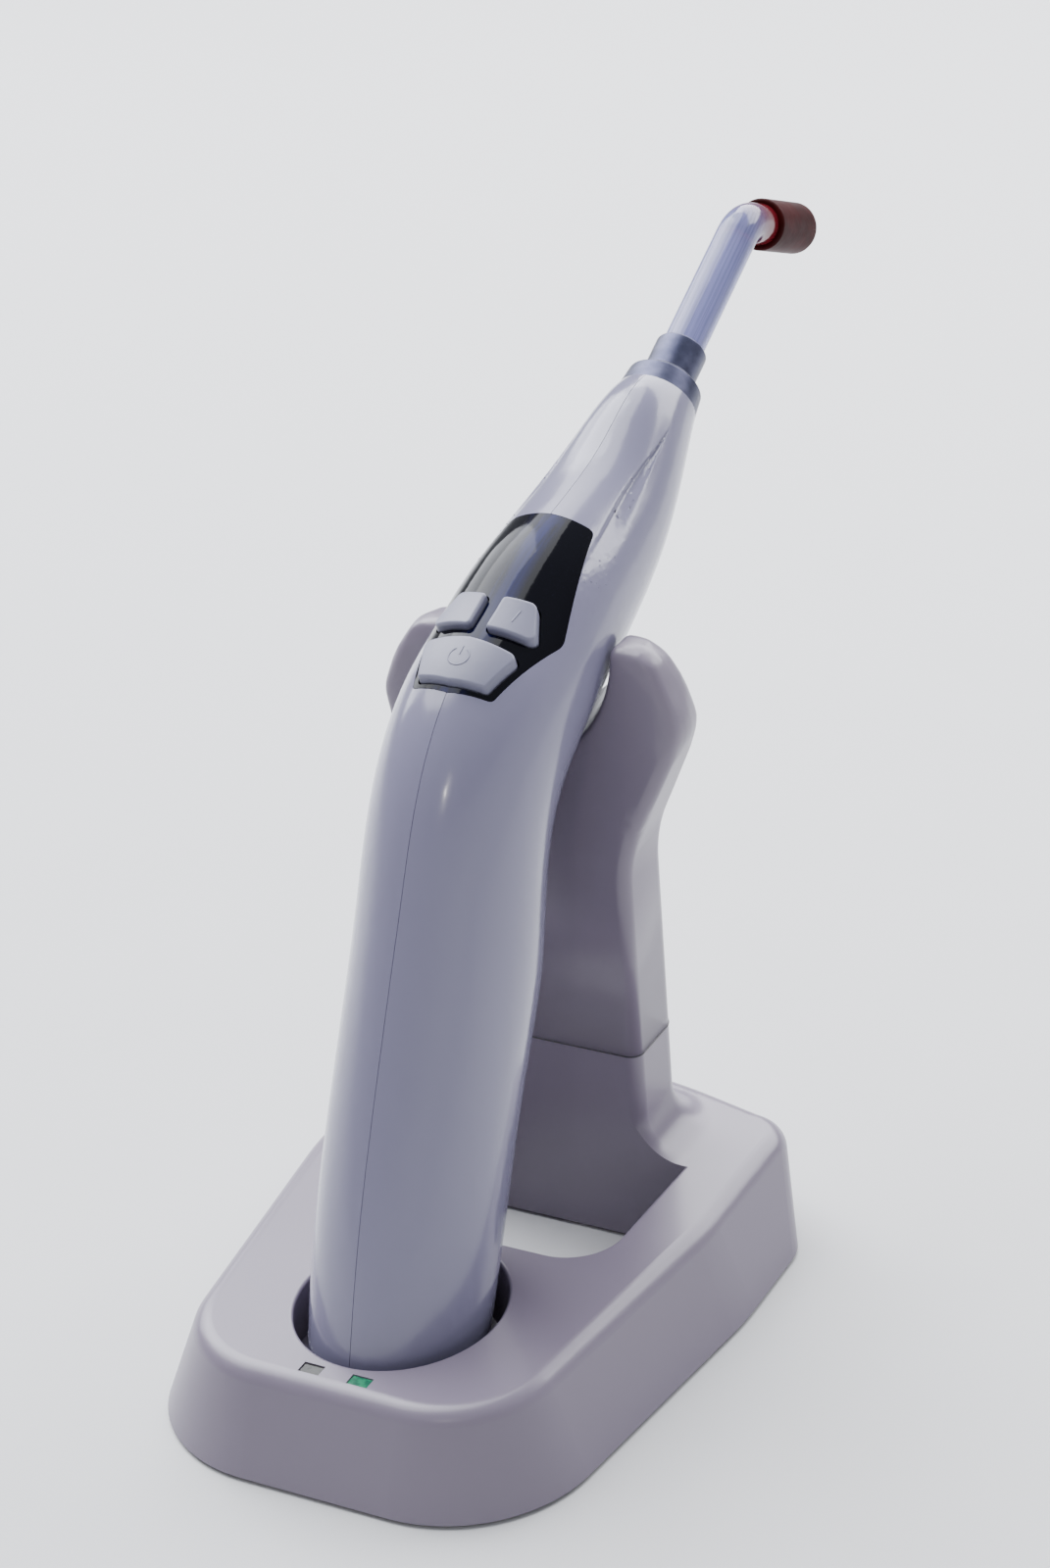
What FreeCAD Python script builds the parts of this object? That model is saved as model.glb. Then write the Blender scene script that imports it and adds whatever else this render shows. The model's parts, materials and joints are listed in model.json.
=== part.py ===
import FreeCAD, Part
import math
import os
import re

import Sketcher

# Cordless dental curing light standing in its charging stand.
# Millimetres, +Z up, +Y from the front of the stand to the light guide's tip, X across.
# The design is laid out about the plane x = 0, with z = 0 on the table. "seat" moves the whole
# assembly along Y, so that the middle of its footprint is the origin.

Vector = FreeCAD.Vector
doc = FreeCAD.newDocument("CuringLight")
sheet = doc.addObject("Spreadsheet::Sheet", "Sizes")

DIMENSIONS = {
    # frame
    "seat": (-39.67, "shift of the assembly along Y"),
    "running_gap": (0.05, "radial clearance of pieces that turn or slide"),
    "joint_gap": (0.15, "gap between fixed pieces"),
    # stand: outline of the foot, at its lower rim
    "foot_gap": (0.8, "height of the rim above the table"),
    "stand_top": (19.3, "height of the top face"),
    "stand_draft": (21.2, "slope of the side walls from vertical, degrees"),
    "stand_wall": (2.4, "wall of the stand's mouldings"),
    "front_half": (38.4, "half width at the front corners"),
    "side_half": (47.9, "half width along the sides"),
    "front_line": (-70.8, "front edge"),
    "side_line": (4.0, "where the sides stop widening"),
    "rear_apex": (55.8, "middle of the rear edge, at the top"),
    "rear_sweep": (14.6, "sweep of the rear edge from its middle to the sides, degrees"),
    "rear_lean": (28.0, "lean of the rear wall, which overhangs, degrees"),
    "front_round": (27.0, "front corner radius"),
    "side_round": (60.0, "side corner radius"),
    "rear_round": (7.5, "rear corner radius"),
    "apex_round": (90.0, "rear edge radius"),
    "top_round": (4.0, "rounding of the top edge"),
    # stand: opening between cup and post
    "opening_half": (28.5, "half width of the opening at the post"),
    "opening_front_half": (27.2, "half width of the opening at the cup"),
    "opening_front": (-13.7, "front edge of the opening"),
    "post_face": (20.9, "front face of the post"),
    "opening_round": (10.5, "front corner radius of the opening"),
    # stand: post
    "post_half": (20.3, "half width of the post"),
    "post_back": (37.4, "rear face of the post"),
    "post_seam": (40.6, "height of the seam round the post"),
    "post_blend": (8.0, "blend from post to top face"),
    "post_front_round": (2.5, "front corner radius of the post"),
    "post_back_round": (4.5, "rear corner radius of the post"),
    "post_shelf": (31.0, "underside of the shelf that carries the yoke"),
    # yoke
    "flare_start": (82.0, "height where the yoke starts to flare"),
    "flare_half": (30.8, "half width at the ears' outer corners, before rounding"),
    "flare_level": (106.5, "height of the ears' outer corners"),
    "ear_top_half": (24.0, "half width at the ears' top corners, before rounding"),
    "ear_top": (121.0, "top of the ears"),
    "yoke_lean": (9.0, "lean of the ears' front face, degrees"),
    "fork_round": (16.3, "radius of the fork that holds the handpiece"),
    "fork_y": (28.5, "point on the fork's axis"),
    "fork_z": (118.9, "point on the fork's axis"),
    "fork_tilt": (24.0, "rise of the fork's axis, degrees"),
    # cup
    "lift_lean": (18.0, "lean of the cup, and of the handpiece's way out, degrees"),
    "cup_half": (18.8, "half width of the cup's mouth"),
    "cup_depth_half": (20.5, "half depth of the cup's mouth"),
    "cup_y": (-35.9, "middle of the cup's mouth"),
    "cup_floor": (8.9, "height of the cup's floor"),
    # handpiece
    "shell_wall": (2.0, "wall of the handpiece's shells"),
    "cap_line": (16.5, "height where the end cap meets the shells"),
    "window_y": (-1.8, "lower end of the window, on the front line"),
    "window_z": (123.8, "lower end of the window, on the front line"),
    "window_tilt": (21.9, "rise of the window, degrees"),
    "window_long": (44.0, "length of the window"),
    "button_rise": (1.5, "height of the buttons above the window"),
    "button_gap": (0.35, "gap round each button"),
    "nose_lean": (63.0, "lean of the nose's axis from vertical, degrees"),
    "nose_round": (7.8, "radius of the nose's end"),
    "battery_y": (-31.2, "foot of the battery"),
    "battery_z": (28.6, "foot of the battery"),
    "handle_lean": (23.8, "lean of the battery and the main board, degrees"),
    "battery_round": (9.2, "radius of the battery"),
    "battery_long": (65.0, "length of the battery"),
    # light guide
    "rod_round": (4.0, "radius of the light guide"),
    "bend_turn": (49.0, "turn of the light guide's bend, degrees"),
    "bend_round": (8.5, "radius of the bend's centre line"),
    "bend_corner": (46.0, "from the nose's end to the bend's corner"),
    "tip_long": (24.3, "from the bend's corner to the guide's far end"),
    "collar_round": (5.0, "radius of the guide's collar"),
    "cap_start": (8.0, "from the bend's corner to the tip cap"),
    "cap_long": (17.4, "length of the tip cap"),
    "cap_round": (5.05, "radius of the tip cap"),
}

# The handpiece's sections: where each meets the front line (y, z), the lean of the handpiece
# there, and the section's half width and half depth.
SECTIONS = [
    ("heel", -57.3, 10.0, 0.0, 15.3, 18.7),
    ("cap", -54.3, 20.5, 17.0, 15.7, 17.9),
    ("grip", -43.6, 50.5, 23.5, 16.1, 19.2),
    ("palm", -36.6, 66.0, 24.5, 16.0, 19.7),
    ("waist", -21.8, 97.0, 27.0, 15.8, 18.7),
    ("bend", -13.7, 111.7, 34.0, 15.7, 17.8),
    ("knee", -1.8, 123.8, 50.0, 15.8, 17.5),
    ("brow", 11.6, 130.1, 62.0, 15.8, 16.2),
    ("saddle", 21.6, 134.0, 64.0, 15.4, 15.7),
    ("bridge", 43.3, 140.1, 64.0, 13.9, 14.1),
    ("taper", 64.5, 146.0, 63.0, 10.9, 10.95),
    ("tip", 79.96, 150.25, 63.0, 7.8, 7.85),
]
for name, front_y, front_z, lean, half_width, half_depth in SECTIONS:
    DIMENSIONS[name + "_y"] = (front_y, name + " section, front line")
    DIMENSIONS[name + "_z"] = (front_z, name + " section, front line")
    DIMENSIONS[name + "_lean"] = (lean, name + " section, lean in degrees")
    DIMENSIONS[name + "_half"] = (half_width, name + " section, half width")
    DIMENSIONS[name + "_deep"] = (half_depth, name + " section, half depth")

for row, (alias, (number, note)) in enumerate(DIMENSIONS.items(), start=1):
    sheet.set(f"A{row}", note)
    sheet.set(f"B{row}", str(number))
    sheet.setAlias(f"B{row}", alias)
doc.recompute()


# ---------------------------------------------------------------- small tools

def rule(text):
    """An expression on the sheet: each dimension's name becomes a reference to its cell."""
    return re.sub(
        r"[a-z_]+", lambda m: "Sizes." + m[0] if m[0] in DIMENSIONS else m[0], str(text)
    )


def value(text):
    """The number that a rule gives."""
    return float(sheet.evalExpression(rule(text)))


def bind(obj, **rules):
    for prop, text in rules.items():
        obj.setExpression(prop, rule(text))
    return obj


def place(obj, x=0, y=0, z=0, lean=0, seated=False):
    """Puts an object at a point, its Z axis leaning towards +Y by an angle."""
    shift = " + seat" if seated else ""
    text = f"placement(vector({x}; {y}{shift}; {z}); rotation(vector(1; 0; 0); -({lean})))"
    obj.setExpression("Placement", rule(text))
    return obj


def box(label, x, y, z, lean=0):
    """A box between two limits along each axis, each given as a pair of rules."""
    obj = doc.addObject("Part::Box", label)
    bind(obj, Length=f"({x[1]}) - ({x[0]})", Width=f"({y[1]}) - ({y[0]})")
    bind(obj, Height=f"({z[1]}) - ({z[0]})")
    return place(obj, x[0], y[0], z[0], lean)


def cylinder(label, radius, height, x=0, y=0, z=0, lean=0):
    obj = bind(doc.addObject("Part::Cylinder", label), Radius=radius, Height=height)
    return place(obj, x, y, z, lean)


def cross_cylinder(label, radius, x, y, z):
    """A cylinder along X between two limits."""
    obj = bind(doc.addObject("Part::Cylinder", label), Radius=radius, Height=f"({x[1]}) - ({x[0]})")
    text = f"placement(vector({x[0]}; {y}; {z}); rotation(vector(0; 1; 0); 90))"
    obj.setExpression("Placement", rule(text))
    return obj


def fuse(label, *shapes):
    obj = doc.addObject("Part::MultiFuse", label)
    obj.Shapes = list(shapes)
    return obj


def group(label, *shapes):
    """Separate solids that share one sub-part."""
    obj = doc.addObject("Part::Compound", label)
    obj.Links = list(shapes)
    return obj


def common(label, *shapes):
    obj = doc.addObject("Part::MultiCommon", label)
    obj.Shapes = list(shapes)
    return obj


def cut(label, base, *tools):
    obj = doc.addObject("Part::Cut", label)
    obj.Base = base
    obj.Tool = tools[0] if len(tools) == 1 else fuse(label + "Tools", *tools)
    return obj


def rounded(label, base, *choices):
    """Rounds the edges of a solid: each choice is a radius and a test of an edge's middle."""
    doc.recompute()
    edges = []
    for number, edge in enumerate(base.Shape.Edges, start=1):
        middle = edge.valueAt((edge.FirstParameter + edge.LastParameter) / 2)
        for radius, wanted in choices:
            if wanted(middle, edge):
                edges.append((number, value(radius), value(radius)))
                break
    obj = doc.addObject("Part::Fillet", label)
    obj.Base = base
    obj.Edges = edges
    return obj


def corner_rule(sketch, line, axis, text):
    """Fixes one coordinate of a line's start."""
    number = value(text)
    if abs(number) < 1e-9:
        fix = Sketcher.Constraint("PointOnObject", line, 1, -2 if axis == "X" else -1)
        sketch.addConstraint(fix)
    elif number > 0:
        fix = Sketcher.Constraint("Distance" + axis, -1, 1, line, 1, number)
        sketch.setExpression(f"Constraints[{sketch.addConstraint(fix)}]", rule(text))
    else:
        fix = Sketcher.Constraint("Distance" + axis, line, 1, -1, 1, -number)
        sketch.setExpression(f"Constraints[{sketch.addConstraint(fix)}]", rule(f"-({text})"))


def draw(sketch, corners):
    """Draws a closed outline. Each corner is (x, y) or (x, y, radius), as rules."""
    spots = [Vector(value(c[0]), value(c[1]), 0) for c in corners]
    count = len(corners)
    for line in range(count):
        sketch.addGeometry(Part.LineSegment(spots[line], spots[(line + 1) % count]))
    for line in range(count):
        sketch.addConstraint(Sketcher.Constraint("Coincident", line, 2, (line + 1) % count, 1))
    for line, corner in enumerate(corners):
        corner_rule(sketch, line, "X", corner[0])
        corner_rule(sketch, line, "Y", corner[1])
    for line, corner in enumerate(corners):
        if len(corner) < 3:
            continue
        spot, before, after = spots[line], spots[line - 1], spots[(line + 1) % count]
        arc = sketch.GeometryCount
        near = (spot + (before - spot) * 0.1, spot + (after - spot) * 0.1)
        sketch.fillet((line - 1) % count, line, *near, value(corner[2]), True, True)
        fix = sketch.addConstraint(Sketcher.Constraint("Radius", arc, value(corner[2])))
        sketch.setExpression(f"Constraints[{fix}]", rule(corner[2]))
    return sketch


def mirrored(corners):
    """A whole outline from its right half, given from front to rear."""
    left = [(f"-({c[0]})", *c[1:]) for c in reversed(corners) if abs(value(c[0])) > 1e-9]
    return list(corners) + left


def outline(label, corners, x=0, y=0, z=0, lean=0):
    return place(draw(doc.addObject("Sketcher::SketchObject", label), corners), x, y, z, lean)


def prism(label, sketch, height, taper=0, start=0):
    """Raises an outline along its normal, from a start height."""
    obj = doc.addObject("Part::Extrusion", label)
    obj.Base = sketch
    obj.DirMode = "Normal"
    obj.Solid = True
    bind(obj, LengthFwd=height, LengthRev=f"-({start})", TaperAngle=taper)
    return obj


def turned(label, profile, x=0, y=0, z=0, lean=0):
    """A turned piece: a PartDesign body whose (radius, height) profile turns about Z."""
    body = doc.addObject("PartDesign::Body", label)
    sketch = body.newObject("Sketcher::SketchObject", label + "Profile")
    plane = [f for f in body.Origin.OriginFeatures if f.Role == "XZ_Plane"][0]
    sketch.AttachmentSupport = [(plane, "")]
    sketch.MapMode = "FlatFace"
    draw(sketch, profile)
    turn = body.newObject("PartDesign::Revolution", label + "Turn")
    turn.Profile = sketch
    turn.ReferenceAxis = (sketch, ["V_Axis"])
    turn.Angle = 360
    body.Tip = turn
    return place(body, x, y, z, lean)


NODES = []


def node(label, obj, seated=False):
    """Names a sub-part. Its placement takes it from the design's layout to the seat."""
    if not seated:
        obj = place(group(obj.Name + "Seated", obj), seated=True)
    obj.Label = label
    NODES.append(obj)
    return obj


# ---------------------------------------------------------------- stand: outer form

def foot_corners(inset):
    """The foot's outline at its rim, moved in by a distance. Its rear end lies past the rear wall."""
    return mirrored([
        (f"front_half - ({inset})", f"front_line + ({inset})", f"front_round - ({inset})"),
        (f"side_half - ({inset})", "side_line", "side_round"),
        (f"side_half - ({inset})", "rear_apex + 20"),
    ])


def foot_block(label, inset, height):
    """The foot, or the same form moved in: drafted walls, and a rear wall that overhangs."""
    slab = prism(
        label + "Slab", outline(label + "Outline", foot_corners(inset), z="foot_gap"),
        height, "-stand_draft",
    )
    reach = "80"
    shift = f"({inset}) / cos(rear_lean)"
    rear = outline(label + "RearOutline", mirrored([
        (reach, f"front_line - {reach}"),
        (reach, f"rear_apex - {shift} - {reach} * tan(rear_sweep)"),
        ("0", f"rear_apex - {shift}", "apex_round"),
    ]), z="stand_top")
    zone = doc.addObject("Part::Extrusion", label + "RearZone")
    zone.Base = rear
    zone.DirMode = "Custom"
    zone.Solid = True
    lean = math.radians(value("rear_lean"))
    zone.Dir = Vector(0, math.sin(lean), math.cos(lean))
    bind(zone, LengthFwd="10", LengthRev="40")
    return rounded(
        label, common(label + "Block", slab, zone),
        (f"rear_round - ({inset})", lambda p, e: abs(p.x) > 30 and p.y > 15 and
         abs(e.tangentAt(e.FirstParameter).z) > 0.5),
    )


def opening_corners(outset):
    return mirrored([
        (f"opening_front_half + ({outset})", f"opening_front - ({outset})", "opening_round"),
        (f"opening_half + ({outset})", f"post_face + ({outset})"),
    ])


def post_corners(inset):
    return mirrored([
        (f"post_half - ({inset})", f"post_face + ({inset})", "post_front_round"),
        (f"post_half - ({inset})", f"post_back - ({inset})", f"post_back_round - ({inset})/2"),
    ])


def cup_prism(label, outset, floor):
    """The cup's bore, or the same form grown by a wall, from a floor height up."""
    mouth = doc.addObject("Part::Ellipse", label + "Mouth")
    bind(mouth, MajorRadius=f"cup_depth_half + ({outset})", MinorRadius=f"cup_half + ({outset})")
    run = f"(stand_top - ({floor})) * tan(lift_lean)"
    text = f"placement(vector(0; cup_y - {run}; {floor}); rotation(vector(0; 0; 1); 90))"
    mouth.setExpression("Placement", rule(text))
    bore = doc.addObject("Part::Extrusion", label)
    bore.Base = mouth
    bore.DirMode = "Custom"
    bore.Solid = True
    lean = math.radians(value("lift_lean"))
    bore.Dir = Vector(0, math.sin(lean), math.cos(lean))
    bind(bore, LengthFwd="60")
    return bore


foot = foot_block("Foot", "0", "stand_top - foot_gap")
riser = prism("Riser", outline("RiserOutline", post_corners("0"), z="10"), "post_seam - 10")
top = value("stand_top")
rimmed = rounded("Rimmed", foot, ("top_round", lambda p, e: abs(p.z - top) < 0.01))
blended = rounded(
    "Blended", fuse("FootAndRiser", rimmed, riser),
    ("post_blend", lambda p, e: abs(p.z - top) < 0.01 and abs(p.x) < 22 and 20 < p.y < 38),
)
opening = prism("Opening", outline("OpeningOutline", opening_corners("0")), "70")
opened = cut("Opened", blended, opening)
cup_bore = cup_prism("CupBore", "0", "cup_floor")
cupped = cut("Cupped", opened, cup_bore)
lip = value("opening_front")
softened = rounded(
    "Softened", cupped,
    ("0.9", lambda p, e: abs(p.z - top) < 0.02 and lip - 0.1 < p.y < 19 and abs(p.x) < 29),
    ("0.6", lambda p, e: abs(p.z - top) < 0.02 and -58 < p.y < lip - 0.5 and abs(p.x) < 20),
)

# ---------------------------------------------------------------- stand: inside

PLATE_TOP = "foot_gap + 2"
SCREW_SPOTS = [("27", "-36"), ("-27", "-36"), ("35", "2"), ("-35", "2")]
FOOT_SPOTS = [("24", "-55"), ("-24", "-55"), ("25", "28.8"), ("-25", "28.8")]
PIN_SPOTS = {"left": "-5", "right": "5"}
PIN_Y = "-39"
LAMP_SPOTS = {"clear": "-4.8", "green": "4.8"}
LAMP_Y = ("-60.9", "-58.3")
YOKE_SCREW_SPOTS = ["-10", "10"]
YOKE_SCREW_Y = "29.5"
JACK_Z = "9.3"


def lamp_box(label, x, grow, z):
    """A pocket or piece of one indicator lamp, behind its window in the top face."""
    return box(
        label,
        (f"{x} - 2 - {grow}", f"{x} + 2 + {grow}"),
        (f"{LAMP_Y[0]} - {grow}", f"{LAMP_Y[1]} + {grow}"),
        z,
    )


foot_hollow = foot_block("FootHollow", "stand_wall", "stand_top - stand_wall - foot_gap")
riser_hollow = prism(
    "RiserHollow", outline("RiserHollowOutline", post_corners("stand_wall"), z="5"),
    "post_shelf - 5",
)
opening_wall = prism("OpeningWall", outline("OpeningWallOutline", opening_corners("2.4")), "60")
opening_wall_low = common(
    "OpeningWallLow", opening_wall,
    box("OpeningWallZone", ("-60", "60"), ("-60", "post_face + 2.4"), ("0", "stand_top")),
)
screw_posts = [
    cylinder(f"ScrewPost{i}", "3.2", "30", x, y, PLATE_TOP)
    for i, (x, y) in enumerate(SCREW_SPOTS, start=1)
]
lamp_block = box("LampBlock", ("-9", "9"), ("-65", "-56"), ("13.5", "18"))
hollow = cut(
    "Hollow", fuse("HollowBlock", foot_hollow, riser_hollow),
    opening_wall_low, cup_prism("CupWall", "2", "cup_floor - 1.6"), lamp_block, *screw_posts,
)
spigot_recess = prism(
    "SpigotRecess", outline("SpigotOutline", post_corners("stand_wall"), z="post_shelf + 3.4"), "20",
)
shell_holes = [
    cylinder(f"ScrewPilot{i}", "1.1", "9", x, y, PLATE_TOP)
    for i, (x, y) in enumerate(SCREW_SPOTS, start=1)
]
shell_holes += [
    cylinder(f"PinHole{side.title()}", "1.1", "6", x, PIN_Y, "6")
    for side, x in PIN_SPOTS.items()
]
shell_holes += [
    cylinder(f"ShelfHole{i}", "1.4", "10", x, YOKE_SCREW_Y, "28")
    for i, x in enumerate(YOKE_SCREW_SPOTS, start=1)
]
for name, x in LAMP_SPOTS.items():
    shell_holes.append(lamp_box(f"LampPocket{name.title()}", x, "0.05", ("16.3", "21")))
    shell_holes.append(lamp_box(f"ChipPocket{name.title()}", x, "-0.25", ("14.6", "17")))
shell_holes.append(cylinder("JackHole", "4.1", "20", 0, "40", JACK_Z, lean=90))
node("base_shell", cut("BaseShell", softened, hollow, spigot_recess, *shell_holes))

# The bottom cover lies inside the rim, with countersunk screw holes, recesses for the feet and
# two posts that carry the charging board.
plate = common(
    "Plate", foot_block("PlateForm", "stand_wall + joint_gap", "stand_top - stand_wall - foot_gap"),
    box("PlateLayer", ("-60", "60"), ("-80", "80"), ("foot_gap", PLATE_TOP)),
)
plate_opening = prism(
    "PlateOpening",
    outline("PlateOpeningOutline", opening_corners("2.4 + joint_gap")), "10",
)
BOARD_POSTS = ["-20", "20"]
board_posts = [
    cylinder(f"BoardPost{i}", "1.8", "14 - foot_gap - 1", x, "29.5", "foot_gap + 1")
    for i, x in enumerate(BOARD_POSTS, start=1)
]
plate_holes = []
for i, (x, y) in enumerate(SCREW_SPOTS, start=1):
    plate_holes.append(cylinder(f"PlateHole{i}", "1.4", "5", x, y, 0))
    plate_holes.append(cylinder(f"PlateSink{i}", "2.6", "foot_gap + 1.2", x, y, 0))
for i, (x, y) in enumerate(FOOT_SPOTS, start=1):
    plate_holes.append(cylinder(f"FootSink{i}", "4.9", "foot_gap + 0.8", x, y, 0))
node("base_plate", cut("BasePlate", fuse("PlateAndPosts", plate, *board_posts),
                       plate_opening, *plate_holes))

feet = [
    cylinder(f"Pad{i}", "4.8", "foot_gap + 0.8", x, y, 0)
    for i, (x, y) in enumerate(FOOT_SPOTS, start=1)
]
node("rubber_feet", group("RubberFeet", *feet))

base_screws = [
    fuse(
        f"BaseScrew{i}",
        cylinder(f"BaseScrewHead{i}", "2.4", "1", x, y, "foot_gap + 0.2"),
        cylinder(f"BaseScrewShank{i}", "1.08", "8.5", x, y, "foot_gap + 1.2"),
    )
    for i, (x, y) in enumerate(SCREW_SPOTS, start=1)
]
node("base_screws", group("BaseScrews", *base_screws))

node("ballast_plate", box("BallastPlate", ("-17", "17"), ("24.2", "31.4"), (PLATE_TOP, "8.8")))

# Charging board with its regulator and capacitors, on the cover's posts.
board = box("ChargingBoardSheet", ("-23", "23"), ("24.5", "36.5"), ("14", "15.6"))
board_parts = [
    box("Regulator", ("-4", "4"), ("25.5", "34"), ("15.6", "18.2")),
    cylinder("CapacitorLeft", "3.2", "9", "-10", "30", "15.6"),
    cylinder("CapacitorRight", "3.2", "9", "10", "30", "15.6"),
]
node("charging_board", fuse("ChargingBoard", board, *board_parts))

# Power inlet: a moulded block with a round nose in the rear wall.
jack_block = box("JackBlock", ("-4.5", "4.5"), ("32", "39.5"), ("4", "13.8"))
jack_nose = cylinder("JackNose", "3.95", "7.4", 0, "39.2", JACK_Z, lean=90)
jack_bore = cylinder("JackBore", "2.75", "11", 0, "36.5", JACK_Z, lean=90)
jack_pin = cylinder("JackPin", "1.0", "10", 0, "36", JACK_Z, lean=90)
jack_case = cut("JackCase", fuse("JackSolid", jack_block, jack_nose), jack_bore)
node("power_inlet", fuse("PowerInlet", jack_case, jack_pin))

# Indicator lamps in the top face.
for name, x in LAMP_SPOTS.items():
    lens = lamp_box(f"Lens{name.title()}", x, "0", ("16.35", "stand_top - 0.25"))
    node(f"indicator_lens_{name}", lens)
chips = [
    lamp_box(f"Chip{name.title()}", x, "-0.5", ("14.65", "16.25"))
    for name, x in LAMP_SPOTS.items()
]
node("indicator_chips", group("IndicatorChips", *chips))

# A slotted spring: rings from one tube, joined by webs on alternate sides.
RING = "0.34"
RING_GAP = "0.32"
RING_COUNT = 4


def ring_spring(label, foot_level):
    rise = f"({RING} + {RING_GAP})"
    tube = cylinder(label + "Tube", "1.5", f"{RING_COUNT} * {rise} - {RING_GAP}", 0, 0, foot_level)
    bore = cylinder(label + "Bore", "1.05", "10", 0, 0, "0")
    slots = []
    for turn in range(1, RING_COUNT):
        level = f"{foot_level} + {turn} * {rise}"
        across = ("-2", "1.1") if turn % 2 else ("-1.1", "2")
        slots.append(box(f"{label}Slot{turn}", ("-2", "2"), across, (f"{level} - {RING_GAP}", level)))
    return cut(label, tube, bore, *slots)


# Charging contacts: a board under the cup, and two sprung pins through the cup's floor.
node("contact_board", box("ContactBoard", ("-16", "16"), ("-52", "-27"), (PLATE_TOP, "4")))
for side, x in PIN_SPOTS.items():
    pin = turned(f"Pin{side.title()}", [
        ("0", "5.2"), ("0.7", "5.2"), ("0.7", "6.4"), ("1.8", "6.4"), ("1.8", "7.2"),
        ("1.05", "7.2"), ("1.05", "9.9", "0.5"), ("0", "9.9"),
    ])
    node(f"contact_pin_{side}", place(pin, x, PIN_Y, 0, seated=True), seated=True)
    spring = ring_spring(f"Spring{side.title()}", "4.04")
    node(f"contact_spring_{side}", place(spring, x, PIN_Y, 0, seated=True), seated=True)

# ---------------------------------------------------------------- yoke

yoke_view = mirrored([
    ("post_half", "post_seam"),
    ("post_half", "flare_start", "30"),
    ("flare_half", "flare_level", "8"),
    ("ear_top_half", "ear_top", "7"),
])
yoke_block = prism("YokeBlock", outline("YokeView", yoke_view, y="post_back", lean="-90"),
                   "post_back - post_face")
relief = box("EarRelief", ("-60", "60"), ("0", "30"), ("0", "60"))
place(relief, "-60", "post_face - 30 * cos(yoke_lean)", "flare_start + 30 * sin(yoke_lean)",
      "yoke_lean")
yoke_leaning = cut("YokeLeaning", yoke_block, relief)
FORK_LEAN = "90 - fork_tilt"
fork_bore = cylinder("ForkBore", "fork_round", "120")
fork_mouth = box("ForkMouth", ("-fork_round", "fork_round"), ("-60", "0"), ("0", "120"))
fork = fuse("Fork", fork_bore, fork_mouth)
place(fork, 0, "fork_y - 60 * cos(fork_tilt)", "fork_z - 60 * sin(fork_tilt)", FORK_LEAN)
crease = value("flare_start")
back = value("post_back")
seam = value("post_seam")
yoke_smooth = rounded(
    "YokeSmooth", yoke_leaning,
    ("120", lambda p, e: abs(p.z - crease) < 0.01 and abs(p.x) < 1 and p.y < 25),
)
yoke_rounded = rounded(
    "YokeRounded", yoke_smooth,
    ("post_front_round", lambda p, e: p.y < 28 and p.z > seam + 0.1 and abs(e.tangentAt(
        e.FirstParameter).y) < 0.5 and not (abs(p.x) < 1 and p.z < 100)),
    ("post_back_round", lambda p, e: abs(p.y - back) < 0.01 and p.z > seam + 0.1),
)
yoke_form = rounded(
    "YokeForm", cut("YokeForked", yoke_rounded, fork),
    ("1.2", lambda p, e: abs(abs(p.x) - value("fork_round")) < 0.3 and p.z > 112),
)

HOLLOW_HALF = "post_half - 4.6"
yoke_hollow = box("YokeHollow", (f"-({HOLLOW_HALF})", HOLLOW_HALF),
                  ("post_face + stand_wall", "post_back + 1"), ("post_seam + 3", "90"))
COVER_SCREW_LEVELS = ["50", "83"]
cover_posts = [
    cylinder(f"CoverPost{i}", "3", "12.5", 0, "post_face + 1", z, lean=90)
    for i, z in enumerate(COVER_SCREW_LEVELS, start=1)
]
spigot = prism(
    "Spigot",
    outline("SpigotForm", post_corners("stand_wall + joint_gap"), z="post_shelf + 3.45"),
    "post_seam - post_shelf - 3",
)
yoke_holes = [
    cylinder(f"CoverPilot{i}", "1.0", "9", 0, "post_back - 11", z, lean=90)
    for i, z in enumerate(COVER_SCREW_LEVELS, start=1)
]
yoke_holes += [
    cylinder(f"YokePilot{i}", "1.2", "8", x, YOKE_SCREW_Y, "post_shelf")
    for i, x in enumerate(YOKE_SCREW_SPOTS, start=1)
]
yoke_inside = cut("YokeInside", yoke_hollow, *cover_posts)
node("yoke_shell", cut("YokeShell", fuse("YokeSolid", yoke_form, spigot), yoke_inside,
                       *yoke_holes))

cover_plate = box(
    "CoverPlate", (f"-({HOLLOW_HALF} - joint_gap)", f"{HOLLOW_HALF} - joint_gap"),
    ("post_back - 2.2", "post_back"), ("post_seam + 3 + joint_gap", "90 - joint_gap"),
)
cover_posts_clear = [
    cylinder(f"CoverHole{i}", "1.3", "4", 0, "post_back - 3", z, lean=90)
    for i, z in enumerate(COVER_SCREW_LEVELS, start=1)
]
cover_sinks = [
    cylinder(f"CoverSink{i}", "2.5", "4", 0, "post_back - 1.2", z, lean=90)
    for i, z in enumerate(COVER_SCREW_LEVELS, start=1)
]
node("yoke_cover", cut("YokeCover", cover_plate, *cover_posts_clear, *cover_sinks))
cover_screws = [
    fuse(
        f"CoverScrew{i}",
        cylinder(f"CoverScrewHead{i}", "2.3", "1.1", 0, "post_back - 1.2", z, lean=90),
        cylinder(f"CoverScrewShank{i}", "0.98", "8", 0, "post_back - 9.2", z, lean=90),
    )
    for i, z in enumerate(COVER_SCREW_LEVELS, start=1)
]
node("cover_screws", group("CoverScrews", *cover_screws))
yoke_screws = [
    fuse(
        f"YokeScrew{i}",
        cylinder(f"YokeScrewHead{i}", "2.6", "1.6", x, YOKE_SCREW_Y, "post_shelf - 1.6"),
        cylinder(f"YokeScrewShank{i}", "1.18", "7.6", x, YOKE_SCREW_Y, "post_shelf"),
    )
    for i, x in enumerate(YOKE_SCREW_SPOTS, start=1)
]
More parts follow.
